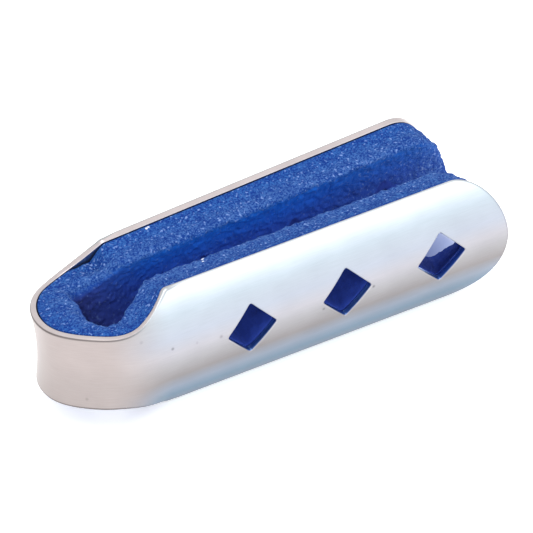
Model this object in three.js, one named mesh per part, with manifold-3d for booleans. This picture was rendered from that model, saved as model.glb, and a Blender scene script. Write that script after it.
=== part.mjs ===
// Finger splint: a strip of aluminium sheet lined with foam, bent into a U round a fingertip.
// Millimetres, +Z up. It stands on the lower long edges of its two legs, and the open end points to +X.
import * as THREE from 'three';
import { mergeVertices } from 'three/addons/utils/BufferGeometryUtils.js';
import Module from 'manifold-3d';

const wasm = await Module();
wasm.setup();

// The sheet, the glue line and the foam
const sheetThickness = 1.0;
const glueGap = 0.3;
const foamThickness = 5.2;

// The bend round the fingertip, measured on the metal's outer face at mid height
const bendRadius = 11.0;
const splayDeg = 1.75;

// The flat strip before it is shaped: half widths, and lengths along it from the middle of the tip.
// The notch widens slowly at first, by this power, and ends at a sharp corner.
const tipHalfWidth = 6.0;
const tipRise = 0.3;
const notchStart = 10.8;
const notchLength = 10.9;
const notchPower = 2.4;
const legHalfWidth = 11.6;
const legLength = 57.3;
const endLength = 8.0;
const endPower = 1.84;

// The cross section: the legs are gutters that bulge outwards, the tip band flares at its edges
const gutterStart = 9.2;
const gutterRadius = 17.0;
const tipFlareRadius = 34.0;

// Windows punched through metal and foam alike, spread evenly between a setback from the notch
// and one from the leg's end
const windowCount = 3;
const windowSetback = 12.9;
const windowEndSetback = 11.7;
const windowHalfLong = 4.2;
const windowHalfTall = 4.55;
const windowRise = 0.2;

// Foam: the share of the flat width that its inner face keeps, and its rounded edges
const foamWidthKept = 0.48;
const foamEdgeRound = 1.2;

// Where the bend has crowded the foam or pinched it: places along the strip, negative on the near leg
const foamSwellings = [
  { at: 6, reach: 7, swell: 0.7 },
  { at: -10, reach: 5, swell: -2.2 },
];

// Each leg leans out at its top. The far leg is a little longer: the bend is off the strip's middle,
// and it is a little flattened on the near side.
const legs = {
  near: { side: -1, leanDeg: 7.8, extraLength: 0, flattened: 0.7 },
  far: { side: 1, leanDeg: 9.0, extraLength: 2.3, flattened: 0 },
};

// How finely the curved stretches are divided
const bendSteps = 8;
const notchSteps = 9;
const legSteps = 4;
const endSteps = 9;
const facetsAcross = 9;
const weldDistance = 1e-4;

const notchEnd = notchStart + notchLength;
const splay = THREE.MathUtils.degToRad(splayDeg);
const bendLength = bendRadius * (Math.PI / 2 - splay);
const foamFront = sheetThickness + glueGap;

function smoothStep(value, from, to) {
  const share = THREE.MathUtils.clamp((value - from) / (to - from), 0, 1);
  return share * share * (3 - 2 * share);
}

function stripHalfWidth(along) {
  const share = THREE.MathUtils.clamp((along - notchStart) / notchLength, 0, 1);
  return THREE.MathUtils.lerp(tipHalfWidth, legHalfWidth, share ** notchPower);
}

// The foam's thickness at a place along the strip, negative on the near leg
function foamThicknessAt(spot) {
  const extra = foamSwellings.map((row) => row.swell * Math.exp(-(((spot - row.at) / row.reach) ** 2)));
  return extra.reduce((sum, value) => sum + value, foamThickness);
}

// Where the bend has carried a point of the strip's middle line, seen from above
function middleLine(leg, along) {
  const turn = Math.min(along, bendLength) / bendRadius;
  const onLeg = Math.max(along - bendLength, 0);
  const tangent = new THREE.Vector3(Math.sin(turn), leg.side * Math.cos(turn), 0);
  const outward = new THREE.Vector3(-Math.cos(turn), leg.side * Math.sin(turn), 0);
  const dent = leg.flattened * Math.sin(Math.PI * Math.min(along / bendLength, 1)) ** 2;
  const point = outward.clone().multiplyScalar(bendRadius - dent).addScaledVector(tangent, onLeg);
  return { point, tangent, outward };
}

// The cross section's curvature, lean and rise, blended from the tip band to the leg
function crossSection(leg, along) {
  const share = smoothStep(along, gutterStart, notchEnd);
  return {
    bulge: THREE.MathUtils.lerp(-1 / tipFlareRadius, 1 / gutterRadius, share),
    lean: THREE.MathUtils.degToRad(leg.leanDeg) * share,
    rise: tipRise * (1 - share),
  };
}

// The directions of the leg's middle facet: out of the metal, and up across the strip
function facetAxes(leg, along) {
  const { tangent, outward } = middleLine(leg, along);
  const { lean } = crossSection(leg, along);
  const up = new THREE.Vector3(0, 0, Math.cos(lean)).addScaledVector(outward, Math.sin(lean));
  const out = new THREE.Vector3(0, 0, -Math.sin(lean)).addScaledVector(outward, Math.cos(lean));
  return { tangent, up, out };
}

// Where a point of the flat strip ends up: along it, across it, and so deep under the metal's outer face.
// widthKept is the share of its flat width that the layer at that depth keeps in the gutter.
function place(leg, along, across, depth, widthKept) {
  const { bulge, rise } = crossSection(leg, along);
  const { up, out } = facetAxes(leg, along);
  const nearlyFlat = 1e-6;
  const curve = Math.abs(bulge) < nearlyFlat ? nearlyFlat : bulge;
  const spread = (widthKept * curve * depth) / (1 - curve * depth);
  const angle = curve * across * (1 + spread);
  const radius = 1 / curve - depth;
  const point = middleLine(leg, along).point;
  point.addScaledVector(out, radius * Math.cos(angle) - 1 / curve);
  point.addScaledVector(up, radius * Math.sin(angle));
  point.z += rise;
  return point;
}

// The strip's outline, a row for each step along a leg: its place, its half width, and the direction
// in which the outline faces, so that a rounded edge can be set back from it
function outlineRows(leg) {
  const rows = [];
  const addRow = (along) => {
    const half = stripHalfWidth(along);
    const ahead = 0.01;
    const facing = new THREE.Vector2((half - stripHalfWidth(along + ahead)) / ahead, 1).normalize();
    rows.push({ along, half, facing });
  };
  const addRows = (from, length, steps) => {
    for (let i = 0; i < steps; i += 1) {
      addRow(from + (length * i) / steps);
    }
  };
  const straightLength = legLength + leg.extraLength - endLength;
  const endStart = notchEnd + straightLength;
  addRows(0, notchStart, bendSteps);
  addRows(notchStart, notchLength, notchSteps);
  addRows(notchEnd, straightLength, legSteps);
  for (let i = 0; i <= endSteps; i += 1) {
    const turn = (Math.PI / 2) * (i / endSteps);
    const reach = Math.sin(turn) ** (2 / endPower);
    const width = i === endSteps ? 0 : Math.cos(turn) ** (2 / endPower);
    const slope = endPower - 1;
    const facing = new THREE.Vector2(reach ** slope / endLength, width ** slope / legHalfWidth).normalize();
    rows.push({ along: endStart + endLength * reach, half: legHalfWidth * width, facing });
  }
  return rows;
}

// The closed section of one layer at one row: its outer face, then its inner face, with the edges
// between them rounded where the layer has an edge round
function sectionRing(leg, row, layer) {
  const back = layer.front + layer.thicknessAt(leg.side * row.along);
  const ring = [];
  const addPoint = (setBack, share, depth) => {
    const along = row.along - setBack * row.facing.x;
    const half = Math.max(row.half - setBack * row.facing.y, 0);
    const through = (depth - layer.front) / (back - layer.front);
    ring.push(place(leg, along, half * share, depth, layer.widthKept * through));
  };
  const shoulder = back - layer.edgeRound;
  for (let i = 0; i <= facetsAcross; i += 1) {
    addPoint(0, 1 - (2 * i) / facetsAcross, layer.front);
  }
  if (layer.edgeRound > 0) {
    addPoint(0, -1, shoulder);
  }
  for (let i = 0; i <= facetsAcross; i += 1) {
    addPoint(layer.edgeRound, -1 + (2 * i) / facetsAcross, back);
  }
  if (layer.edgeRound > 0) {
    addPoint(0, 1, shoulder);
  }
  return ring;
}

// A layer of the bent strip as one closed solid, from the near leg's end round the tip to the far leg's end
function bentLayer(layer) {
  const nearRings = outlineRows(legs.near).slice(1).reverse().map((row) => sectionRing(legs.near, row, layer));
  const farRings = outlineRows(legs.far).map((row) => sectionRing(legs.far, row, layer));
  const rings = [...nearRings, ...farRings];
  const count = rings[0].length;
  const corners = [];
  for (let r = 0; r + 1 < rings.length; r += 1) {
    for (let i = 0; i < count; i += 1) {
      const next = (i + 1) % count;
      corners.push(rings[r][i], rings[r + 1][next], rings[r][next]);
      corners.push(rings[r][i], rings[r + 1][i], rings[r + 1][next]);
    }
  }
  return solidOf(new THREE.BufferGeometry().setFromPoints(corners));
}

// A three.js geometry as a solid: shared corners welded, and triangles that closed up dropped
function solidOf(geometry) {
  geometry.deleteAttribute('normal');
  geometry.deleteAttribute('uv');
  const welded = mergeVertices(geometry, weldDistance);
  const index = Array.from(welded.index.array);
  const triangles = [];
  for (let i = 0; i < index.length; i += 3) {
    const [a, b, c] = index.slice(i, i + 3);
    if (a !== b && b !== c && c !== a) {
      triangles.push(a, b, c);
    }
  }
  return new wasm.Manifold(new wasm.Mesh({
    numProp: 3,
    vertProperties: new Float32Array(welded.attributes.position.array),
    triVerts: new Uint32Array(triangles),
  }));
}

function geometryOf(solid) {
  const mesh = solid.getMesh();
  const geometry = new THREE.BufferGeometry();
  geometry.setAttribute('position', new THREE.BufferAttribute(new Float32Array(mesh.vertProperties), 3));
  geometry.setIndex(new THREE.BufferAttribute(new Uint32Array(mesh.triVerts), 1));
  geometry.computeVertexNormals();
  return geometry;
}

// One window's punch: a diamond prism square to the leg's middle facet, through metal and foam
function windowPunch(leg, along) {
  const clearance = 2;
  const inside = foamFront + foamThickness + clearance;
  const halfTall = gutterRadius * Math.sin(windowHalfTall / gutterRadius);
  const diamond = new THREE.Shape();
  diamond.moveTo(windowHalfLong, 0);
  diamond.lineTo(0, halfTall);
  diamond.lineTo(-windowHalfLong, 0);
  diamond.lineTo(0, -halfTall);
  diamond.closePath();
  const geometry = new THREE.ExtrudeGeometry(diamond, { depth: inside + clearance, bevelEnabled: false });
  geometry.translate(0, 0, -inside);
  const { up, out } = facetAxes(leg, along);
  const sideways = new THREE.Vector3().crossVectors(up, out);
  const centre = place(leg, along, windowRise, 0, 0);
  geometry.applyMatrix4(new THREE.Matrix4().makeBasis(sideways, up, out).setPosition(centre));
  return solidOf(geometry);
}

function punchWindows(solid) {
  const pitch = (legLength - windowSetback - windowEndSetback) / (windowCount - 1);
  let punched = solid;
  for (const leg of Object.values(legs)) {
    for (let i = 0; i < windowCount; i += 1) {
      const along = notchEnd + leg.extraLength + windowSetback + pitch * i;
      punched = punched.subtract(windowPunch(leg, along));
    }
  }
  return punched;
}

const sheetLayer = {
  front: 0,
  thicknessAt: () => sheetThickness,
  edgeRound: 0,
  widthKept: 0,
};

const foamLayer = {
  front: foamFront,
  thicknessAt: foamThicknessAt,
  edgeRound: foamEdgeRound,
  widthKept: foamWidthKept,
};

const aluminium = new THREE.MeshStandardMaterial({ color: 0xd2d3d6, roughness: 0.38, metalness: 1 });
const blueFoam = new THREE.MeshStandardMaterial({ color: 0x1f4fae, roughness: 0.95, metalness: 0 });

const aluminiumShell = new THREE.Mesh(geometryOf(punchWindows(bentLayer(sheetLayer))), aluminium);
aluminiumShell.name = 'aluminium_shell';

const foamLiner = new THREE.Mesh(geometryOf(punchWindows(bentLayer(foamLayer))), blueFoam);
foamLiner.name = 'foam_liner';

// The origin goes to the middle of the splint's footprint, on the surface that it stands on
const splint = new THREE.Group();
splint.add(aluminiumShell, foamLiner);
const box = new THREE.Box3().setFromObject(splint);
const centre = box.getCenter(new THREE.Vector3());
splint.position.set(-centre.x, -centre.y, -box.min.z);

export default splint;
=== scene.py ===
# Finger splint: a bent aluminium strip lined with blue open-cell foam.
# The tables are in millimetres and degrees, the meshes in metres.
import math

import bpy
import numpy as np
from mathutils import Matrix, Vector, noise
from mathutils.geometry import delaunay_2d_cdt
from mathutils.kdtree import KDTree


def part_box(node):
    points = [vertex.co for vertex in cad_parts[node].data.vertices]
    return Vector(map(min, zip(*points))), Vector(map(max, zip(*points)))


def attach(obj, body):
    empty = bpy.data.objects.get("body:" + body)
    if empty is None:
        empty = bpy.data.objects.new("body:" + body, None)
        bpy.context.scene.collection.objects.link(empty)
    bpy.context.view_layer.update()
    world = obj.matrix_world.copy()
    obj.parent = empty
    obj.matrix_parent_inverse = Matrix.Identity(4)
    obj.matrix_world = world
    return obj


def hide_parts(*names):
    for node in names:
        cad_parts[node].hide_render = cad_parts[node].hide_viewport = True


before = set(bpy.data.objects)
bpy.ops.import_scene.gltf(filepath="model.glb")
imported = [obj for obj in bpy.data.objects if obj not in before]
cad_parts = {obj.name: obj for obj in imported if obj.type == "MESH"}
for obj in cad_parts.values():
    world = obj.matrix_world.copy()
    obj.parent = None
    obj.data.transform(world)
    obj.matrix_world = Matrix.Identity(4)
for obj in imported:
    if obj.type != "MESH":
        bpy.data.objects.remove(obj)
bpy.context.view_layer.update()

mm = 0.001

# The flat strip and the way it is bent. s runs along it from the middle of the tip, negative on
# the near leg and positive on the far one; v runs across it; depth goes inwards from the outer face.
strip = {
    "bendRadius": 11.0,
    "splayDeg": 1.75,
    "nearFlattened": 0.7,      # how far the near side of the bend is pressed in
    "tipHalfWidth": 6.0,
    "tipRise": 0.3,
    "tipFlareRadius": 34.0,
    "notchStart": 10.8,
    "notchLength": 10.9,
    "notchPower": 2.4,
    "cornerSoftness": 0.5,     # how much the sharp corner at the notch's end is eased
    "legHalfWidth": 11.6,
    "legLength": 57.3,
    "endLength": 8.0,
    "endPower": 1.84,
    "gutterStart": 9.2,
    "gutterRadius": 17.0,
    "nearLeanDeg": 7.8,
    "farLeanDeg": 9.0,
    "farExtraLength": 2.3,
}

windows = {
    "count": 3,
    "setback": 12.9,
    "endSetback": 11.7,
    "halfLong": 4.2,
    "halfTall": 4.55,
    "rise": 0.2,
    "cornerRound": 0.3,
}

notchEnd = strip["notchStart"] + strip["notchLength"]
nearEnd = notchEnd + strip["legLength"]
farEnd = nearEnd + strip["farExtraLength"]
splay = math.radians(strip["splayDeg"])
bendLength = strip["bendRadius"] * (math.pi / 2 - splay)


# 0 before start and 1 past end, with a soft change between them; start may be the larger of the two
def smoothStep(value, start, end):
    share = np.clip((value - start) / (end - start), 0, 1)
    return share * share * (3 - 2 * share)


def hill(value, centre, reach):
    return np.exp(-((value - centre) / reach) ** 2)


# Where points of the flat strip end up once it is bent, in mm round the bend's own centre.
# kept is the share of its flat width that a layer keeps where the gutter would squeeze it.
def bentPoints(s, v, depth, kept):
    side = np.where(s < 0, -1.0, 1.0)
    along = np.abs(s)
    turn = np.minimum(along, bendLength) / strip["bendRadius"]
    onLeg = np.maximum(along - bendLength, 0)
    flat = np.zeros_like(turn)
    tangent = np.stack([np.sin(turn), side * np.cos(turn), flat], -1)
    outward = np.stack([-np.cos(turn), side * np.sin(turn), flat], -1)
    share = smoothStep(along, strip["gutterStart"], notchEnd)
    curve = -(1 - share) / strip["tipFlareRadius"] + share / strip["gutterRadius"]
    nearlyFlat = 1e-6
    curve = np.where(np.abs(curve) < nearlyFlat, nearlyFlat, curve)
    lean = np.radians(np.where(s < 0, strip["nearLeanDeg"], strip["farLeanDeg"])) * share
    zAxis = np.array([0.0, 0.0, 1.0])
    cosLean, sinLean = np.cos(lean)[:, None], np.sin(lean)[:, None]
    up = zAxis * cosLean + outward * sinLean
    out = outward * cosLean - zAxis * sinLean
    spread = kept * curve * depth / (1 - curve * depth)
    angle = curve * v * (1 + spread)
    radius = 1 / curve - depth
    roundBend = np.minimum(along / bendLength, 1)
    dent = np.where(s < 0, strip["nearFlattened"], 0) * np.sin(math.pi * roundBend) ** 2
    points = outward * (strip["bendRadius"] - dent)[:, None] + tangent * onLeg[:, None]
    points = points + out * (radius * np.cos(angle) - 1 / curve)[:, None]
    points = points + up * (radius * np.sin(angle))[:, None]
    points[:, 2] += strip["tipRise"] * (1 - share)
    return points


# Half width of the flat strip at s, with the round ends of the two legs
def halfWidth(s):
    along = np.abs(s)
    end = np.where(s < 0, nearEnd, farEnd)
    share = np.maximum((along - strip["notchStart"]) / strip["notchLength"], 0) ** strip["notchPower"]
    notch = strip["tipHalfWidth"] + (strip["legHalfWidth"] - strip["tipHalfWidth"]) * share
    soft = strip["cornerSoftness"]
    blend = np.clip(0.5 + 0.5 * (notch - strip["legHalfWidth"]) / soft, 0, 1)
    body = notch + (strip["legHalfWidth"] - notch) * blend - soft * blend * (1 - blend)
    past = np.clip((along - end + strip["endLength"]) / strip["endLength"], 0, 1)
    return body * np.maximum(1 - past ** strip["endPower"], 0) ** (1 / strip["endPower"])


# A closed loop of evenly spaced points along another one
def resample(points, step):
    fewest = 8
    closed = np.vstack([points, points[:1]])
    lengths = np.concatenate([[0], np.cumsum(np.linalg.norm(np.diff(closed, axis=0), axis=1))])
    count = max(fewest, round(lengths[-1] / step))
    where = np.linspace(0, lengths[-1], count, endpoint=False)
    return np.stack([np.interp(where, lengths, closed[:, k]) for k in range(2)], -1)


# The direction in which each point of a loop faces away from the material, averaged over a few
# neighbours so that rings set in from a corner don't cross. Loops run with the material on their left.
def facing(loop, neighbours):
    ahead = np.roll(loop, -1, 0) - np.roll(loop, 1, 0)
    ahead /= np.linalg.norm(ahead, axis=1)[:, None]
    ahead = sum(np.roll(ahead, k, 0) for k in range(-neighbours, neighbours + 1))
    ahead /= np.linalg.norm(ahead, axis=1)[:, None]
    return np.stack([ahead[:, 1], -ahead[:, 0]], -1)


def stripOutline(step):
    endPoints, sidePoints = 60, 800
    turns = np.linspace(-math.pi / 2, math.pi / 2, endPoints)
    power = 2 / strip["endPower"]
    reach = strip["endLength"] * np.abs(np.cos(turns)) ** power
    width = strip["legHalfWidth"] * np.sign(turns) * np.abs(np.sin(turns)) ** power
    nearStart, farStart = nearEnd - strip["endLength"], farEnd - strip["endLength"]
    farRound = np.stack([farStart + reach, width], -1)
    nearRound = np.stack([-(nearStart + reach), -width], -1)
    straight = np.linspace(-nearStart, farStart, sidePoints)[1:-1]
    lower = np.stack([straight, -halfWidth(straight)], -1)
    upper = np.stack([straight[::-1], halfWidth(straight[::-1])], -1)
    return resample(np.vstack([lower, farRound, upper, nearRound]), step)


# The windows' places along the strip: the near leg's three from the tip outwards, then the far leg's
def windowCentres():
    pitch = (strip["legLength"] - windows["setback"] - windows["endSetback"]) / (windows["count"] - 1)
    first = notchEnd + windows["setback"]
    near = [-(first + pitch * i) for i in range(windows["count"])]
    far = [first + strip["farExtraLength"] + pitch * i for i in range(windows["count"])]
    return near + far


# How far points of the flat strip are from the nearest window's middle: 1 on the edge of the diamond
def holeReach(s, v):
    rise = np.abs(v - windows["rise"]) / windows["halfTall"]
    return np.min([np.abs(s - centre) / windows["halfLong"] + rise for centre in windowCentres()], 0)


# One diamond with rounded corners, run clockwise so that the material is on its left
def windowLoop(centre, step):
    long, tall, radius = windows["halfLong"], windows["halfTall"], windows["cornerRound"]
    side = math.hypot(long, tall)
    cornerPoints = 5
    corners = np.array([(long, 0), (0, -tall), (-long, 0), (0, tall)], float)
    points = []
    for corner, last, following in zip(corners, np.roll(corners, 1, 0), np.roll(corners, -1, 0)):
        before, after = (last - corner) / side, (following - corner) / side
        halfAngle = math.acos(float(before @ after)) / 2
        back = radius / math.tan(halfAngle)
        middle = corner * (1 - radius / math.sin(halfAngle) / np.linalg.norm(corner))
        start, end = corner + before * back - middle, corner + after * back - middle
        for share in np.linspace(0, 1, cornerPoints):
            arm = start * (1 - share) + end * share
            points.append(middle + arm / np.linalg.norm(arm) * radius)
    loop = np.array(points) + (centre, windows["rise"])
    return resample(loop, step)


def insideLoop(points, loop):
    inside = np.zeros(len(points), bool)
    across, up = points[:, 0], points[:, 1]
    for a, b in zip(loop, np.roll(loop, -1, 0)):
        if a[1] != b[1]:
            crosses = (a[1] > up) != (b[1] > up)
            inside ^= crosses & (across < (b[0] - a[0]) * (up - a[1]) / (b[1] - a[1]) + a[0])
    return inside


# The flat area between loops as triangles, with a lattice of points of the given spacing inside it
def fillFlat(loops, spacing):
    rim = np.vstack(loops)
    tree = KDTree(len(rim))
    for i, (a, b) in enumerate(rim):
        tree.insert((a, b, 0), i)
    tree.balance()
    low, high = rim.min(0), rim.max(0)
    inner = []
    for row, b in enumerate(np.arange(low[1], high[1], spacing * math.sqrt(3) / 2)):
        shift = spacing / 2 * (row % 2)
        for a in np.arange(low[0] + shift, high[0], spacing):
            inner.append((a, b))
    inner = np.array(inner)
    inside = insideLoop(inner, loops[0])
    for loop in loops[1:]:
        inside &= ~insideLoop(inner, loop)
    clear = 0.6 * spacing   # a lattice point closer to the rim than this would make slivers
    inner = [p for p in inner[inside] if tree.find((p[0], p[1], 0))[2] > clear]
    points = [Vector(p) for p in np.vstack([rim, inner])]
    edges, start = [], 0
    owner = np.full(len(points), -1)
    for k, loop in enumerate(loops):
        count = len(loop)
        edges += [(start + i, start + (i + 1) % count) for i in range(count)]
        owner[start:start + count] = k
        start += count
    insideEdges, sameSpot = 1, 1e-7
    coords, _, faces, origin, _, _ = delaunay_2d_cdt(points, edges, [], insideEdges, sameSpot)
    if len(coords) != len(points):
        raise ValueError("the flat outline crosses itself")
    place = [o[0] for o in origin]
    triangles = np.array([[place[i] for i in f] for f in faces])
    owners = owner[triangles]
    hole = (owners[:, 0] > 0) & (owners == owners[:, :1]).all(1)
    return np.array([tuple(p) for p in points]), triangles[~hole]


# Closed rings round a layer's edge: each has an inset from the loop and a depth, for every loop point
def edgeRings(loop, profile, neighbours):
    away = facing(loop, neighbours)
    rings = []
    for inset, depth in profile:
        inset = np.broadcast_to(inset, len(loop))
        rings.append((loop - away * inset[:, None], np.broadcast_to(depth, len(loop))))
    return rings


# A layer of the strip as one closed body. The first ring of each loop bounds its outer face and the
# last one its inner face. backDepth gives the inner face's depth, keptAt the width kept at a depth,
# and pulled moves points about in the flat before the layer is bent. What comes back is the piece
# and, for each vertex, its flat place, its depth and the number of its ring (-1 on the two faces).
def layerMesh(name, ringSets, frontDepth, backDepth, keptAt, pulled, frontSpacing, backSpacing):
    frontFlat, frontFaces = fillFlat([rings[0][0] for rings in ringSets], frontSpacing)
    backFlat, backFaces = fillFlat([rings[-1][0] for rings in ringSets], backSpacing)
    flats = [frontFlat, backFlat]
    depths = [np.full(len(frontFlat), frontDepth), backDepth(backFlat[:, 0])]
    faces = [tuple(int(i) for i in f[::-1]) for f in frontFaces]
    faces += [tuple(int(i) + len(frontFlat) for i in f) for f in backFaces]
    total = len(frontFlat) + len(backFlat)
    ringNumbers = [np.full(total, -1)]
    frontStart, backStart = 0, len(frontFlat)
    for rings in ringSets:
        count = len(rings[0][0])
        starts = [frontStart]
        for number, (flat, depth) in enumerate(rings[1:-1], 1):
            flats.append(flat)
            depths.append(depth)
            ringNumbers.append(np.full(count, number))
            starts.append(total)
            total += count
        starts.append(backStart)
        for here, there in zip(starts, starts[1:]):
            for i in range(count):
                j = (i + 1) % count
                faces.append((here + i, here + j, there + j, there + i))
        frontStart += count
        backStart += count
    depth = np.concatenate(depths)
    flat = pulled(np.vstack(flats), depth)
    points = bentPoints(flat[:, 0], flat[:, 1], depth, keptAt(flat[:, 0], depth))
    mesh = bpy.data.meshes.new(name)
    mesh.from_pydata(((points + frameShift) * mm).tolist(), [], faces)
    layout = mesh.uv_layers.new(name="flatStrip")
    corner = np.empty(len(mesh.loops), int)
    mesh.loops.foreach_get("vertex_index", corner)
    layout.data.foreach_set("uv", (flat[corner] * mm).astype(np.float32).ravel())
    mesh.shade_smooth()
    mesh.update()
    piece = bpy.data.objects.new(name, mesh)
    bpy.context.scene.collection.objects.link(piece)
    return piece, flat, depth, np.concatenate(ringNumbers)


# Up to three shares for each vertex, kept as the red, green and blue of a colour layer
def paintVertices(mesh, name, *shares):
    count = len(mesh.vertices)
    channels = list(shares) + [np.zeros(count)] * (3 - len(shares)) + [np.ones(count)]
    layer = mesh.color_attributes.new(name=name, type="FLOAT_COLOR", domain="POINT")
    layer.data.foreach_set("color", np.stack(channels, -1).astype(np.float32).ravel())


# The bend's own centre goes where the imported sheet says
def shiftToFrame():
    outline = stripOutline(shell["loopSpacing"])
    faceDepths = (0.0, shell["thickness"])
    corners = np.vstack([bentPoints(outline[:, 0], outline[:, 1], depth, 0.0) for depth in faceDepths])
    low, high = (np.array(corner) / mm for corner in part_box("aluminium_shell"))
    middle = (low + high) / 2 - (corners.min(0) + corners.max(0)) / 2
    return np.array([low[0] - corners[:, 0].min(), middle[1], low[2] - corners[:, 2].min()])


def hexToLinear(text):
    channels = [int(text[i:i + 2], 16) / 255 for i in (1, 3, 5)]
    return [c / 12.92 if c <= 0.04045 else ((c + 0.055) / 1.055) ** 2.4 for c in channels] + [1.0]


# A colour ramp's marks, from rows of place (0 to 1, in order) and hex colour
def setMarks(marks, rows):
    marks.remove(marks[1])
    for place, colour in rows:
        mark = marks.new(place) if place > 0 else marks[0]
        mark.color = hexToLinear(colour)


# A node with its settings and links. A number or a socket's name sets that socket, and another name
# sets a property of the node.
def addNode(tree, kind, settings=None, links=None):
    node = tree.nodes.new(kind)
    for key, value in (settings or {}).items():
        if key == "marks":
            setMarks(node.color_ramp.elements, value)
        elif isinstance(key, int) or key in node.inputs:
            node.inputs[key].default_value = value
        else:
            setattr(node, key, value)
    for key, source in (links or {}).items():
        tree.links.new(source, node.inputs[key])
    return node


# Settings that many nodes share
mixColours = {"data_type": "RGBA"}
multiplyColours = {"data_type": "RGBA", "blend_type": "MULTIPLY"}
softly = {"interpolation_type": "SMOOTHSTEP"}


# The two values between which a Map Range node's input changes
def span(ends, unit=1.0):
    return {"From Min": ends[0] * unit, "From Max": ends[1] * unit}


def newMaterial(name):
    material = bpy.data.materials.new(name)
    material.use_nodes = True
    material.node_tree.nodes.clear()
    return material, material.node_tree


# The aluminium sheet. Pairs are where a change starts and ends, along the strip (s) or across it (v).
shell = {
    "thickness": 1.0,
    "outerRound": 0.22,
    "innerRound": 0.1,
    "roundSteps": 3,
    "supportInset": 0.12,      # a ring just inside the rounded edges keeps the faces smooth
    "gridSpacing": 0.5,
    "loopSpacing": 0.3,
    "neighbours": 2,
    "cornerRoll": 0.4,         # how much more the edge rolls over at the notches' corners
    "rollPast": 0.3,
    "rollReach": 1.8,
    "legHalfReach": 12.0,      # the leg's ramp runs this far either side of its middle line
    # Painted reflection and shade across the leg: bright at its upper edge, darker and bluer towards its
    # lower edge
    "legColours": [(0.0, "#6d7d90"), (0.15, "#748da1"), (0.25, "#9199a7"), (0.35, "#8f8a8a"),
                   (0.45, "#9f9d9f"), (0.55, "#aeacb2"), (0.65, "#a7acb7"), (0.8, "#a3abb2"),
                   (0.86, "#abb1b6"), (0.92, "#bcc1c5"), (1.0, "#ced1d4")],
    "tipHalfReach": 6.0,
    # Painted reflection on the bend: duller and warmer than the legs
    "tipColours": [(0.0, "#9c9391"), (0.3, "#a09795"), (0.6, "#a69c9a"), (1.0, "#a69c9a")],
    "tipReflectionReach": (22.0, 10.0),
    "rimColour": "#beb5b5",
    # A painted reflection of the blue foam on the windows' cut walls
    "wallReflectionColour": "#6a93cf",
    "specks": [                # s, v, size and how dark each one is
        (-21.0, 2.1, 0.35, 0.45), (-29.2, 1.1, 0.4, 0.3), (-46.8, -0.9, 0.35, 0.4), (-16.0, 4.9, 0.4, 0.15),
        (-25.1, 1.6, 0.3, 0.15), (-7.0, -4.4, 0.35, 0.2), (-55.4, -0.2, 0.35, 0.5),
    ],
    "speckCore": 0.2,
    "cornerRings": [(1, 0.7), (2, 1.0), (3, 0.8)],   # the rings of the outer edge and how much painted shade each takes
    # Painted shade on the rolled outer edges, stronger on the bend and on the far leg's upper edge
    "edgeDark": 0.3,
    "tipEdgeDark": 0.6,
    "tipEdge": (20.0, 13.0),
    "farEdgeDark": 0.45,
    "farEdgeStart": 20.0,
    "litEdgeAcross": (0.0, 2.0),  # the near leg's upper edge gets no painted edge shade and stays bright, except at its end
    "litEdgeAlong": (74.0, 70.0),
    "darkPast": 0.4,
    "beyondHole": 1.3,         # the windows' edges start inside this reach and have no dark line
    "wallRings": 3,
    "wallReach": 1.15,
    "roughness": 0.34,
    "roughnessSpread": 0.05,
    "grainWidth": 0.16,        # rolled grain is about 0.02 wide; drawn coarser, so that it shows
    "grainStretch": 20.0,
    "grainDepth": 0.02,
    "grainBump": 0.2,
    "cloudSize": 6.0,
    "wearRange": (0.7, 1.3),
    "wear": 0.1,
}


def sheetProfile(loop):
    thickness, inner = shell["thickness"], shell["innerRound"]
    rolled = hill(np.abs(loop[:, 0]), notchEnd + shell["rollPast"], shell["rollReach"])
    outer = shell["outerRound"] + shell["cornerRoll"] * rolled
    turns = np.linspace(0, math.pi / 2, shell["roundSteps"] + 1)
    profile = [(outer + shell["supportInset"], 0.0)]
    profile += [(outer * (1 - math.sin(t)), outer * (1 - math.cos(t))) for t in turns]
    profile += [(inner * (1 - math.cos(t)), thickness - inner * (1 - math.sin(t))) for t in turns]
    return profile + [(inner + shell["supportInset"], thickness)]
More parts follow.
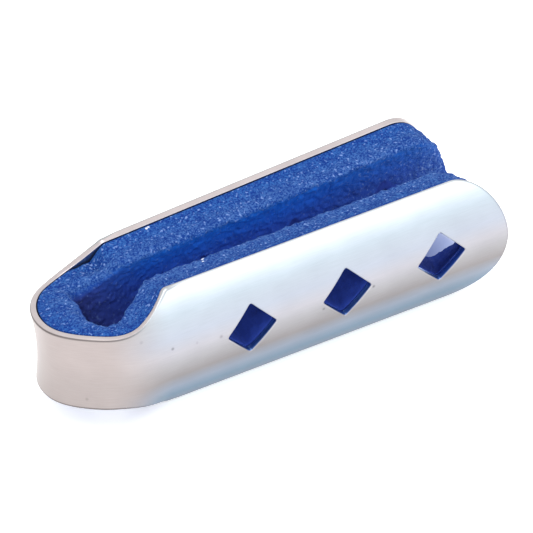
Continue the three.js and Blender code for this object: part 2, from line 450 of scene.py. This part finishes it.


# Satin aluminium, cold rolled and then tumbled: a soft bright metal with faint streaks along the strip.
# Painted reflection and shade: the bend is duller and warmer, the legs are bright at their upper edge and
# darker and bluer towards the lower one, and painted shade darkens the outer edges. The cut sides are paler,
# and the windows' walls carry a painted reflection of the blue foam behind them.
def satinAluminium():
    material, tree = newMaterial("satin_rolled_aluminium")
    flat = addNode(tree, "ShaderNodeUVMap", {"uv_map": "flatStrip"}).outputs["UV"]
    place = addNode(tree, "ShaderNodeSeparateXYZ", None, {"Vector": flat})
    fromTip = addNode(tree, "ShaderNodeMath", {"operation": "ABSOLUTE"}, {0: place.outputs["X"]})
    # Where the bend's painted reflection takes over from the legs'
    tipShare = addNode(tree, "ShaderNodeMapRange", {**span(shell["tipReflectionReach"], mm), **softly},
                       {"Value": fromTip.outputs["Value"]})
    ramps = []
    for part in ("leg", "tip"):
        reach = shell[part + "HalfReach"]
        across = addNode(tree, "ShaderNodeMapRange", span((-reach, reach), mm), {"Value": place.outputs["Y"]})
        ramp = addNode(tree, "ShaderNodeValToRGB", {"marks": shell[part + "Colours"]},
                       {"Fac": across.outputs["Result"]})
        ramps.append(ramp.outputs["Color"])
    colour = addNode(tree, "ShaderNodeMix", mixColours,
                     {0: tipShare.outputs["Result"], 6: ramps[0], 7: ramps[1]})
    cloud = addNode(tree, "ShaderNodeTexNoise", {"Scale": 1 / (shell["cloudSize"] * mm), "Detail": 3.0},
                    {"Vector": flat})
    streak = addNode(tree, "ShaderNodeMapping", {"Scale": (1 / shell["grainStretch"], 1.0, 1.0)},
                     {"Vector": flat})
    grain = addNode(tree, "ShaderNodeTexNoise", {"Scale": 1 / (shell["grainWidth"] * mm), "Detail": 3.0},
                    {"Vector": streak.outputs["Vector"]})
    wear = addNode(tree, "ShaderNodeMath", {"operation": "ADD"},
                   {0: cloud.outputs["Fac"], 1: grain.outputs["Fac"]})
    worn = addNode(tree, "ShaderNodeMapRange", {**span(shell["wearRange"]), "To Min": 1 - shell["wear"]},
                   {"Value": wear.outputs["Value"]})
    edgeLayer = addNode(tree, "ShaderNodeVertexColor", {"layer_name": "cutEdge"})
    edge = addNode(tree, "ShaderNodeSeparateColor", None, {"Color": edgeLayer.outputs["Color"]})
    kept = addNode(tree, "ShaderNodeMath", {"operation": "SUBTRACT"},
                   {0: worn.outputs["Result"], 1: edge.outputs["Red"]})
    # The cut sides' paler colour, then the painted reflection of the foam on the windows' walls
    for name, channel in (("rimColour", "Green"), ("wallReflectionColour", "Blue")):
        colour = addNode(tree, "ShaderNodeMix", {**mixColours, 7: hexToLinear(shell[name])},
                         {0: edge.outputs[channel], 6: colour.outputs[2]})
    for s, v, size, dark in shell["specks"]:
        away = addNode(tree, "ShaderNodeVectorMath", {"operation": "DISTANCE", 1: (s * mm, v * mm, 0)},
                       {0: flat})
        core = shell["speckCore"] * size
        clear = addNode(tree, "ShaderNodeMapRange", {**span((core, size), mm), "To Min": 1 - dark},
                        {"Value": away.outputs["Value"]})
        kept = addNode(tree, "ShaderNodeMath", {"operation": "MULTIPLY"},
                       {0: kept.outputs["Value"], 1: clear.outputs["Result"]})
    tint = addNode(tree, "ShaderNodeMix", {**multiplyColours, 0: 1.0},
                   {6: colour.outputs[2], 7: kept.outputs["Value"]})
    roughest = shell["roughness"] + shell["roughnessSpread"]
    smoothest = shell["roughness"] - shell["roughnessSpread"]
    rough = addNode(tree, "ShaderNodeMapRange", {"To Min": smoothest, "To Max": roughest},
                    {"Value": grain.outputs["Fac"]})
    bump = addNode(tree, "ShaderNodeBump",
                   {"Strength": shell["grainBump"], "Distance": shell["grainDepth"] * mm},
                   {"Height": grain.outputs["Fac"]})
    look = {"Base Color": tint.outputs[2], "Roughness": rough.outputs["Result"],
            "Normal": bump.outputs["Normal"]}
    surface = addNode(tree, "ShaderNodeBsdfPrincipled", {"Metallic": 1.0}, look)
    addNode(tree, "ShaderNodeOutputMaterial", None, {"Surface": surface.outputs["BSDF"]})
    return material


# The colour layer cutEdge says how much painted shade darkens the outer edge, what is a cut side, and what a
# window's wall with its painted reflection of the foam
def makeShell():
    loops = [stripOutline(shell["loopSpacing"])]
    loops += [windowLoop(centre, shell["loopSpacing"]) for centre in windowCentres()]
    ringSets = [edgeRings(loop, sheetProfile(loop), shell["neighbours"]) for loop in loops]
    piece, flat, _, ringNumber = layerMesh(
        "aluminium_strip", ringSets, frontDepth=0.0, backDepth=lambda s: np.full(len(s), shell["thickness"]),
        keptAt=lambda s, depth: 0.0 * s, pulled=lambda points, depth: points,
        frontSpacing=shell["gridSpacing"], backSpacing=shell["gridSpacing"])
    s, v = flat[:, 0], flat[:, 1]
    along, reach = np.abs(s), holeReach(s, v)
    # Painted shade on the rolled outer edges; the windows' walls get a painted reflection of the foam
    corner = sum(share * (ringNumber == number) for number, share in shell["cornerRings"])
    corner = corner * (reach > shell["beyondHole"])
    onTip = smoothStep(along, *shell["tipEdge"])
    litEdge = smoothStep(v, *shell["litEdgeAcross"]) * smoothStep(along, *shell["litEdgeAlong"])
    dark = (shell["edgeDark"] * (1 - litEdge)) * (1 - onTip) + shell["tipEdgeDark"] * onTip
    rolled = hill(along, notchEnd + shell["darkPast"], shell["rollReach"])
    dark = np.maximum(dark, shell["edgeDark"] * rolled)
    dark = np.where((s > shell["farEdgeStart"]) & (v > 0), shell["farEdgeDark"], dark)
    side = ringNumber > shell["roundSteps"]
    wall = side & (ringNumber <= shell["roundSteps"] + shell["wallRings"]) & (reach < shell["wallReach"])
    paintVertices(piece.data, "cutEdge", corner * dark, side, wall)
    piece.data.materials.append(satinAluminium())
    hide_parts("aluminium_shell")
    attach(piece, "root")
    return piece


# The foam. Its thickness swells where the bend crowds it; each row of lumps is one swelling along the
# strip. Pairs are where a change starts and ends, along the strip, across it or in depth.
foam = {
    "front": 1.2,
    "thickness": 5.2,
    "widthKept": 0.48,
    "edgeRound": 0.9,
    "farEdgeRound": 1.6,       # the far leg's upper edge is rounder than the others
    "farRoundAlong": (8.0, 16.0),
    "farRoundAcross": (-2.0, 2.0),
    "tipRound": 1.3,
    "tipRoundAt": (2.0, 8.0),
    "windowRound": 0.35,
    "holes": [                 # how much each punched hole closes up, and which way its inner end lies
        (0.0, (0.0, 0.0)), (0.0, (0.0, 0.0)), (-0.05, (-3.8, -4.4)),
        (0.45, (0.0, -1.0)), (0.45, (0.0, -1.0)), (0.45, (0.0, -1.0)),
    ],
    "gluedInset": 0.05,
    "gluedDepth": 0.1,
    "looseDepth": 0.8,
    "arcSteps": 5,
    "wallSteps": 8,
    "gridSpacing": 0.27,
    "backingSpacing": 1.2,
    "loopSpacing": 0.3,
    "outlineNeighbours": 4,
    "windowNeighbours": 2,
    "lumps": [
        {"at": 3.0, "reach": 5.5, "swell": 1.0},
        {"at": 12.5, "reach": 3.2, "swell": -1.4},
        {"at": -10.0, "reach": 5.0, "swell": -2.2},
    ],
    "drops": [
        {"at": 20.1, "reach": 1.0, "drop": 1.6},
        {"at": 18.3, "reach": 1.2, "drop": 0.7},
    ],
    "dropAcross": (4.5, 8.5),
    "dropDepths": (2.6, 5.8),
    "dropEased": 0.9,
    "roughness": [
        {"size": 1.6, "height": 0.2},
        {"size": 0.6, "height": 0.22},
    ],
    "cellSize": 0.27,          # a fine foam, with about 90 cells to the inch
    "cellDepth": 0.12,
    "cellBump": 0.7,
    "cellBlue": "#082e75",
    "wallBlue": "#365b97",
    "wallRange": (0.56, 0.82),
    "clumpCells": 5,
    "clumpShare": 0.35,
    # Painted highlights: glints where the cell walls catch the light
    "glintBlue": "#6a84b9",
    "glintRange": (0.66, 0.84),
    "glintCells": 1.6,
    "glintShift": (0.31, 0.17, 0.05),
    "glintShare": 0.3,         # how strongly the smooth inner face shows the glints
    # Painted shadow of the metal rim near the sheet, with some of the glue's own colour; lighter on the free
    # side
    "sheetSideShadeAndGlue": (0.5, 0.8, 0.92, 1.0),
    "freeSideTint": (1.2, 1.06, 1.0, 1.0),
    # Painted shade on the inner face: darker low in the cavity and towards the far end
    "innerShadeBlues": [(0.0, "#253b8d"), (0.45, "#284eb0"), (0.7, "#1c5bc4"), (1.0, "#1463c7")],
    "innerHeights": (-2.0, 10.0),
    "endShade": (0.95, 0.72, 0.68, 1.0),
    "endShadeAlong": (58.0, 76.0),
    # Painted shade inside the tip
    "tipShadeBlue": "#283474",
    "tipShadeAt": 2.0,
    "tipShadeAlong": (27.0, 12.0),
    "tipShadeBelow": (0.3, 2.6),
    # Painted shade on the walls of the punched holes
    "holeShadeBlue": "#213683",
    "nearHoleShade": 1.02,     # how far the painted shade of a punched hole reaches; 1 is the diamond's edge
    "farHoleShade": 0.75,
    "holeShadeBlend": 0.1,
    "cutBlend": 2.2,
    "cutBlendEnd": 0.25,
    "farCut": 0.3,             # the inner face gets more open towards the ends of the legs
    "farCutAlong": (48.0, 66.0),
    "endCut": 0.4,
    "endCutAlong": (70.0, 80.0),
    "crumbColour": "#c9cfe0",
    "crumbCore": 0.5,
    "crumbs": [                # s, v, depth and size of each crumb of lint
        (-31.6, 11.5, 5.7, 0.3), (-31.3, 11.5, 5.2, 0.24), (29.2, 11.6, 1.6, 0.28), (29.6, 11.6, 1.5, 0.24),
    ],
}


def foamThickness(s):
    swelling = sum(row["swell"] * hill(s, row["at"], row["reach"]) for row in foam["lumps"])
    return foam["thickness"] + swelling


# The foam tore away from the far leg's upper edge beside the notch, so it sits lower there
def foamDrop(s, v, depth):
    drop = sum(row["drop"] * hill(s, row["at"], row["reach"]) for row in foam["drops"])
    eased = 1 - foam["dropEased"] * smoothStep(depth, *foam["dropDepths"])
    return drop * smoothStep(v, *foam["dropAcross"]) * eased


def foamPulled(points, depth):
    s, v = points[:, 0], points[:, 1]
    return np.stack([s, v - foamDrop(s, v, depth)], -1)


def foamProfile(loop, rounding):
    back = foam["front"] + foamThickness(loop[:, 0])
    shoulder = back - rounding
    first, steps = foam["front"] + foam["gluedDepth"], foam["wallSteps"]
    profile = [(foam["gluedInset"], foam["front"]), (0.0, first)]
    profile += [(0.0, first + (shoulder - first) * k / steps) for k in range(1, steps + 1)]
    for turn in np.linspace(0, math.pi / 2, foam["arcSteps"] + 1)[1:]:
        profile.append((rounding * (1 - math.cos(turn)), shoulder + rounding * math.sin(turn)))
    return profile


# The colour that the cut edges show: dark cells between paler walls, darker near the sheet with a painted
# shadow of the metal rim and some of the glue's own colour, and lighter away from it
def cutCells(tree, cells, clumps):
    mixed = addNode(tree, "ShaderNodeMath", {"operation": "MULTIPLY_ADD", 1: foam["clumpShare"]},
                    {0: clumps.outputs["Fac"], 2: cells.outputs["Fac"]})
    walls = addNode(tree, "ShaderNodeMapRange", span(foam["wallRange"]), {"Value": mixed.outputs["Value"]})
    blues = {6: hexToLinear(foam["cellBlue"]), 7: hexToLinear(foam["wallBlue"])}
    openCells = addNode(tree, "ShaderNodeMix", {**mixColours, **blues}, {0: walls.outputs["Result"]})
    sideLayer = addNode(tree, "ShaderNodeVertexColor", {"layer_name": "layerSide"})
    side = addNode(tree, "ShaderNodeSeparateColor", None, {"Color": sideLayer.outputs["Color"]})
    shade = addNode(tree, "ShaderNodeMix", {**mixColours, 6: foam["sheetSideShadeAndGlue"], 7: foam["freeSideTint"]},
                    {0: side.outputs["Red"]})
    lit = addNode(tree, "ShaderNodeMix", {**multiplyColours, 0: 1.0},
                  {6: openCells.outputs[2], 7: shade.outputs[2]})
    return lit.outputs[2]


# The colour of the smooth inner face: bluer and lighter upwards, with painted shade that makes it darker low
# down, duller at the far end and in the tip
def innerFace(tree, inTip):
    flat = addNode(tree, "ShaderNodeUVMap", {"uv_map": "flatStrip"})
    place = addNode(tree, "ShaderNodeSeparateXYZ", None, {"Vector": flat.outputs["UV"]})
    height = addNode(tree, "ShaderNodeMapRange", span(foam["innerHeights"], mm),
                     {"Value": place.outputs["Y"]})
    legs = addNode(tree, "ShaderNodeValToRGB", {"marks": foam["innerShadeBlues"]},
                   {"Fac": height.outputs["Result"]})
    ending = addNode(tree, "ShaderNodeMapRange", span(foam["endShadeAlong"], mm),
                     {"Value": place.outputs["X"]})
    ended = addNode(tree, "ShaderNodeMix", {**multiplyColours, 7: foam["endShade"]},
                    {0: ending.outputs["Result"], 6: legs.outputs["Color"]})
    shaded = addNode(tree, "ShaderNodeMix", {**mixColours, 7: hexToLinear(foam["tipShadeBlue"])},
                     {0: inTip, 6: ended.outputs[2]})
    return shaded.outputs[2]


# Open-cell polyurethane foam, cut from a block: matt and deep blue. The cut edges are open cells whose
# walls catch the light, shown with painted glints; the inner face is smoother and carries painted shade,
# and painted shade darkens the walls of the punched holes. A few crumbs of pale lint cling to the upper
# edges.
def openCellFoam():
    material, tree = newMaterial("open_cell_polyurethane_foam")
    place = addNode(tree, "ShaderNodeTexCoord").outputs["Object"]
    kindLayer = addNode(tree, "ShaderNodeVertexColor", {"layer_name": "cutSurface"})
    kind = addNode(tree, "ShaderNodeSeparateColor", None, {"Color": kindLayer.outputs["Color"]})
    cells = addNode(tree, "ShaderNodeTexNoise",
                    {"Scale": 1 / (foam["cellSize"] * mm), "Detail": 1.0, "Roughness": 0.6},
                    {"Vector": place})
    clumps = addNode(tree, "ShaderNodeTexNoise",
                     {"Scale": 1 / (foam["cellSize"] * foam["clumpCells"] * mm), "Detail": 2.0},
                     {"Vector": place})
    moved = addNode(tree, "ShaderNodeMapping", {"Location": foam["glintShift"]}, {"Vector": place})
    glints = addNode(tree, "ShaderNodeTexNoise",
                     {"Scale": 1 / (foam["cellSize"] * foam["glintCells"] * mm), "Detail": 0.0},
                     {"Vector": moved.outputs["Vector"]})
    glint = addNode(tree, "ShaderNodeMapRange", span(foam["glintRange"]), {"Value": glints.outputs["Fac"]})
    sparse = addNode(tree, "ShaderNodeMapRange", {"To Min": foam["glintShare"]},
                     {"Value": kind.outputs["Red"]})
    glintShare = addNode(tree, "ShaderNodeMath", {"operation": "MULTIPLY"},
                         {0: glint.outputs["Result"], 1: sparse.outputs["Result"]})
    faces = {6: innerFace(tree, kind.outputs["Blue"]), 7: cutCells(tree, cells, clumps)}
    colour = addNode(tree, "ShaderNodeMix", mixColours, {0: kind.outputs["Red"], **faces})
    # Painted glints, then painted shade in the punched holes
    for name, share in (("glintBlue", glintShare.outputs["Value"]), ("holeShadeBlue", kind.outputs["Green"])):
        colour = addNode(tree, "ShaderNodeMix", {**mixColours, 7: hexToLinear(foam[name])},
                         {0: share, 6: colour.outputs[2]})
    for s, v, depth, size in foam["crumbs"]:
        kept = foam["widthKept"] * (depth - foam["front"]) / foam["thickness"]
        spot = (bentPoints(np.array([s]), np.array([v]), depth, kept)[0] + frameShift) * mm
        away = addNode(tree, "ShaderNodeVectorMath", {"operation": "DISTANCE", 1: tuple(spot)}, {0: place})
        core = foam["crumbCore"] * size
        pale = addNode(tree, "ShaderNodeMapRange", span((size, core), mm), {"Value": away.outputs["Value"]})
        colour = addNode(tree, "ShaderNodeMix", {**mixColours, 7: hexToLinear(foam["crumbColour"])},
                         {0: pale.outputs["Result"], 6: colour.outputs[2]})
    bump = addNode(tree, "ShaderNodeBump",
                   {"Strength": foam["cellBump"], "Distance": foam["cellDepth"] * mm},
                   {"Height": cells.outputs["Fac"]})
    surface = addNode(tree, "ShaderNodeBsdfPrincipled", {"Roughness": 0.95, "Specular IOR Level": 0.15},
                      {"Base Color": colour.outputs[2], "Normal": bump.outputs["Normal"]})
    addNode(tree, "ShaderNodeOutputMaterial", None, {"Surface": surface.outputs["BSDF"]})
    return material


# Each punched hole closes up by its own share towards the inner face, and its inner end lies its own
# way off
def windowRings(loop, number):
    middle = loop.mean(0)
    profile = foamProfile(loop, foam["windowRound"])
    taper, slant = foam["holes"][number]
    rings = []
    for inset, depth in edgeRings(loop, profile, foam["windowNeighbours"]):
        share = (depth - foam["front"]) / foamThickness(loop[:, 0])
        flat = middle + (inset - middle) * (1 - taper * share)[:, None] + share[:, None] * slant
        rings.append((flat, depth))
    return rings


# The free faces are roughened along their normals; what is glued to the sheet stays smooth
def roughenFoam(mesh, depth):
    count = len(mesh.vertices)
    places, normals = np.empty(count * 3), np.empty(count * 3)
    mesh.vertices.foreach_get("co", places)
    mesh.vertex_normals.foreach_get("vector", normals)
    places, normals = places.reshape(-1, 3), normals.reshape(-1, 3)
    free = smoothStep(depth, foam["front"] + foam["gluedDepth"], foam["front"] + foam["looseDepth"])
    push = np.zeros(count)
    for row in foam["roughness"]:
        scaled = places / (row["size"] * mm)
        push += row["height"] * np.array([noise.noise(Vector(p)) for p in scaled])
    places = places + normals * (push * free * mm)[:, None]
    mesh.vertices.foreach_set("co", places.ravel())
    mesh.update()


# The colour layer cutSurface says what is open cells, what a punched hole with its painted shade, and where
# painted shade darkens the inside of the tip; layerSide runs from 0 at the sheet to 1 at the inner face
def paintFoam(mesh, flat, depth):
    s, v = flat[:, 0], flat[:, 1]
    along, half = np.abs(s), halfWidth(s)
    fromEdge = half - np.abs(v) - foamDrop(s, np.where(v > 0, half, 0), depth)
    # Painted shade in the punched holes and inside the tip
    limit = np.where(s < 0, foam["nearHoleShade"], foam["farHoleShade"])
    inHole = smoothStep(holeReach(s, v), limit + foam["holeShadeBlend"], limit)
    cut = smoothStep(fromEdge, foam["cutBlend"], foam["cutBlendEnd"] * foam["cutBlend"])
    farEnding = foam["farCut"] * smoothStep(s, *foam["farCutAlong"])
    ending = foam["endCut"] * smoothStep(along, *foam["endCutAlong"])
    cut = np.maximum(cut, farEnding + ending) * (1 - inHole)
    inTip = smoothStep(np.abs(s - foam["tipShadeAt"]), *foam["tipShadeAlong"])
    inTip = inTip * smoothStep(half - v, *foam["tipShadeBelow"])
    paintVertices(mesh, "cutSurface", cut, inHole, inTip)
    paintVertices(mesh, "layerSide", smoothStep(depth, foam["front"], foam["front"] + foamThickness(s)))


def makeFoam():
    loops = [stripOutline(foam["loopSpacing"])]
    loops += [windowLoop(centre, foam["loopSpacing"]) for centre in windowCentres()]
    s, v = loops[0][:, 0], loops[0][:, 1]
    onTop = smoothStep(s, *foam["farRoundAlong"]) * smoothStep(v, *foam["farRoundAcross"])
    rounding = foam["edgeRound"] + (foam["farEdgeRound"] - foam["edgeRound"]) * onTop
    rounding = rounding + foam["tipRound"] * hill(s, *foam["tipRoundAt"])
    ringSets = [edgeRings(loops[0], foamProfile(loops[0], rounding), foam["outlineNeighbours"])]
    ringSets += [windowRings(loop, number) for number, loop in enumerate(loops[1:])]
    piece, flat, depth, _ = layerMesh(
        "foam_lining", ringSets, frontDepth=foam["front"],
        backDepth=lambda s: foam["front"] + foamThickness(s),
        keptAt=lambda s, depth: foam["widthKept"] * (depth - foam["front"]) / foamThickness(s),
        pulled=foamPulled, frontSpacing=foam["backingSpacing"], backSpacing=foam["gridSpacing"])
    roughenFoam(piece.data, depth)
    paintFoam(piece.data, flat, depth)
    piece.data.materials.append(openCellFoam())
    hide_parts("foam_liner")
    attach(piece, "root")
    return piece


frameShift = shiftToFrame()
print("frame shift in mm", frameShift.round(4))
aluminiumStrip = makeShell()
print("aluminium strip", len(aluminiumStrip.data.polygons), "faces")
foamLining = makeFoam()
print("foam lining", len(foamLining.data.polygons), "faces")


# The studio: a pale floor, a soft sky that is brighter low in front, and a lamp overhead
studio = {
    "floorSize": 4.0,
    "floorColour": "#e6e6e6",
    "glowColour": "#ffffff",
    "floorGlow": 0.5,
    "shadeColour": "#a3adc8",
    "shadeGlow": "#4f5b8f",
    "underSplint": [           # the floor's painted bluish shade: axis, where it is full and where it has faded
        ("X", 36.0, 39.0), ("X", 14.0, -6.0), ("Y", 8.5, 11.0), ("Y", 0.0, -6.0),
    ],
    "skyColour": "#ffffff",
    "skyStrength": 1.25,
    "frontColour": "#f4faff",
    "frontStrength": 2.7,
    "frontTurn": (0.2, -0.9),
    "frontHeight": (0.85, 0.3),
    "lamps": [
        {"name": "overhead", "colour": "#ffffff", "power": 2.0, "size": 0.5, "from": (-0.1, -0.1, 0.7)},
    ],
}


# Matt white paper that glows a little, as an overexposed backdrop does, with a painted bluish shade under the
# splint
def makeFloor():
    bpy.ops.mesh.primitive_plane_add(size=studio["floorSize"], location=(0, 0, 0))
    floor = bpy.context.object
    floor.name = "studio_floor"
    material, tree = newMaterial("matt_paper")
    layout = addNode(tree, "ShaderNodeTexCoord")
    place = addNode(tree, "ShaderNodeSeparateXYZ", None, {"Vector": layout.outputs["Object"]})
    under = None
    # Painted bluish shade on the floor under the splint
    for axis, inside, outside in studio["underSplint"]:
        fade = addNode(tree, "ShaderNodeMapRange", {**span((outside, inside), mm), **softly},
                       {"Value": place.outputs[axis]})
        if under is not None:
            fade = addNode(tree, "ShaderNodeMath", {"operation": "MULTIPLY"}, {0: fade.outputs[0], 1: under})
        under = fade.outputs[0]
    look = {}
    for socket, plain, shaded in (("Base Color", "floorColour", "shadeColour"),
                                  ("Emission Color", "glowColour", "shadeGlow")):
        colours = {6: hexToLinear(studio[plain]), 7: hexToLinear(studio[shaded])}
        look[socket] = addNode(tree, "ShaderNodeMix", {**mixColours, **colours}, {0: under}).outputs[2]
    finish = {"Roughness": 0.9, "Specular IOR Level": 0.1, "Emission Strength": studio["floorGlow"]}
    surface = addNode(tree, "ShaderNodeBsdfPrincipled", finish, look)
    addNode(tree, "ShaderNodeOutputMaterial", None, {"Surface": surface.outputs["BSDF"]})
    floor.data.materials.append(material)


def makeSky():
    world = bpy.data.worlds.new("studio_sky")
    bpy.context.scene.world = world
    world.use_nodes = True
    world.node_tree.nodes.clear()
    tree = world.node_tree
    around = addNode(tree, "ShaderNodeTexCoord")
    heading = addNode(tree, "ShaderNodeSeparateXYZ", None, {"Vector": around.outputs["Generated"]})
    toFront = addNode(tree, "ShaderNodeMapRange", {**span(studio["frontTurn"]), **softly},
                      {"Value": heading.outputs["Y"]})
    low = addNode(tree, "ShaderNodeMapRange", {**span(studio["frontHeight"]), **softly},
                  {"Value": heading.outputs["Z"]})
    share = addNode(tree, "ShaderNodeMath", {"operation": "MULTIPLY"},
                    {0: toFront.outputs["Result"], 1: low.outputs["Result"]})
    lights = {}
    for socket, part in ((6, "sky"), (7, "front")):
        linear = hexToLinear(studio[part + "Colour"])
        lights[socket] = [c * studio[part + "Strength"] for c in linear[:3]] + [1.0]
    colour = addNode(tree, "ShaderNodeMix", {**mixColours, **lights}, {0: share.outputs["Value"]})
    sky = addNode(tree, "ShaderNodeBackground", {"Strength": 1.0}, {"Color": colour.outputs[2]})
    addNode(tree, "ShaderNodeOutputWorld", None, {"Surface": sky.outputs["Background"]})


def makeLamps():
    for row in studio["lamps"]:
        lamp = bpy.data.lights.new(row["name"], "AREA")
        lamp.shape = "DISK"
        lamp.size = row["size"]
        lamp.energy = row["power"]
        lamp.color = hexToLinear(row["colour"])[:3]
        holder = bpy.data.objects.new(row["name"], lamp)
        holder.location = row["from"]
        holder.rotation_euler = (-Vector(row["from"])).to_track_quat("-Z", "Y").to_euler()
        bpy.context.scene.collection.objects.link(holder)


# The camera looks from the front left and above, at a point aimAlong from the bend's centre
camera = {
    "azimuthDeg": 30.552,
    "elevationDeg": 31.172,
    "rollDeg": -4.587,
    "distance": 1437.3,
    "lens": 656.9,
    "sensorWidth": 36.0,
    "aimAlong": 30.0,
    "aimRight": -2.343,
    "aimUp": 0.740,
}


def makeCamera():
    azimuth, elevation, roll = (math.radians(camera[k]) for k in ("azimuthDeg", "elevationDeg", "rollDeg"))
    level = math.cos(elevation)
    ahead = Vector((math.sin(azimuth) * level, math.cos(azimuth) * level, -math.sin(elevation)))
    right = Vector((math.cos(azimuth), -math.sin(azimuth), 0.0))
    up = right.cross(ahead)
    aim = Vector(frameShift) + Vector((camera["aimAlong"], 0, 0))
    aim = aim + right * camera["aimRight"] + up * camera["aimUp"]
    turnedRight = right * math.cos(roll) + up * math.sin(roll)
    turnedUp = up * math.cos(roll) - right * math.sin(roll)
    view = bpy.data.cameras.new("studio_camera")
    view.lens = camera["lens"]
    view.sensor_width = camera["sensorWidth"]
    holder = bpy.data.objects.new("studio_camera", view)
    turned = Matrix((turnedRight, turnedUp, -ahead)).transposed().to_4x4()
    turned.translation = (aim - ahead * camera["distance"]) * mm
    holder.matrix_world = turned
    bpy.context.scene.collection.objects.link(holder)
    bpy.context.scene.camera = holder


makeFloor()
makeSky()
makeLamps()
makeCamera()
bpy.context.scene.view_settings.view_transform = "Standard"
print("studio and camera")
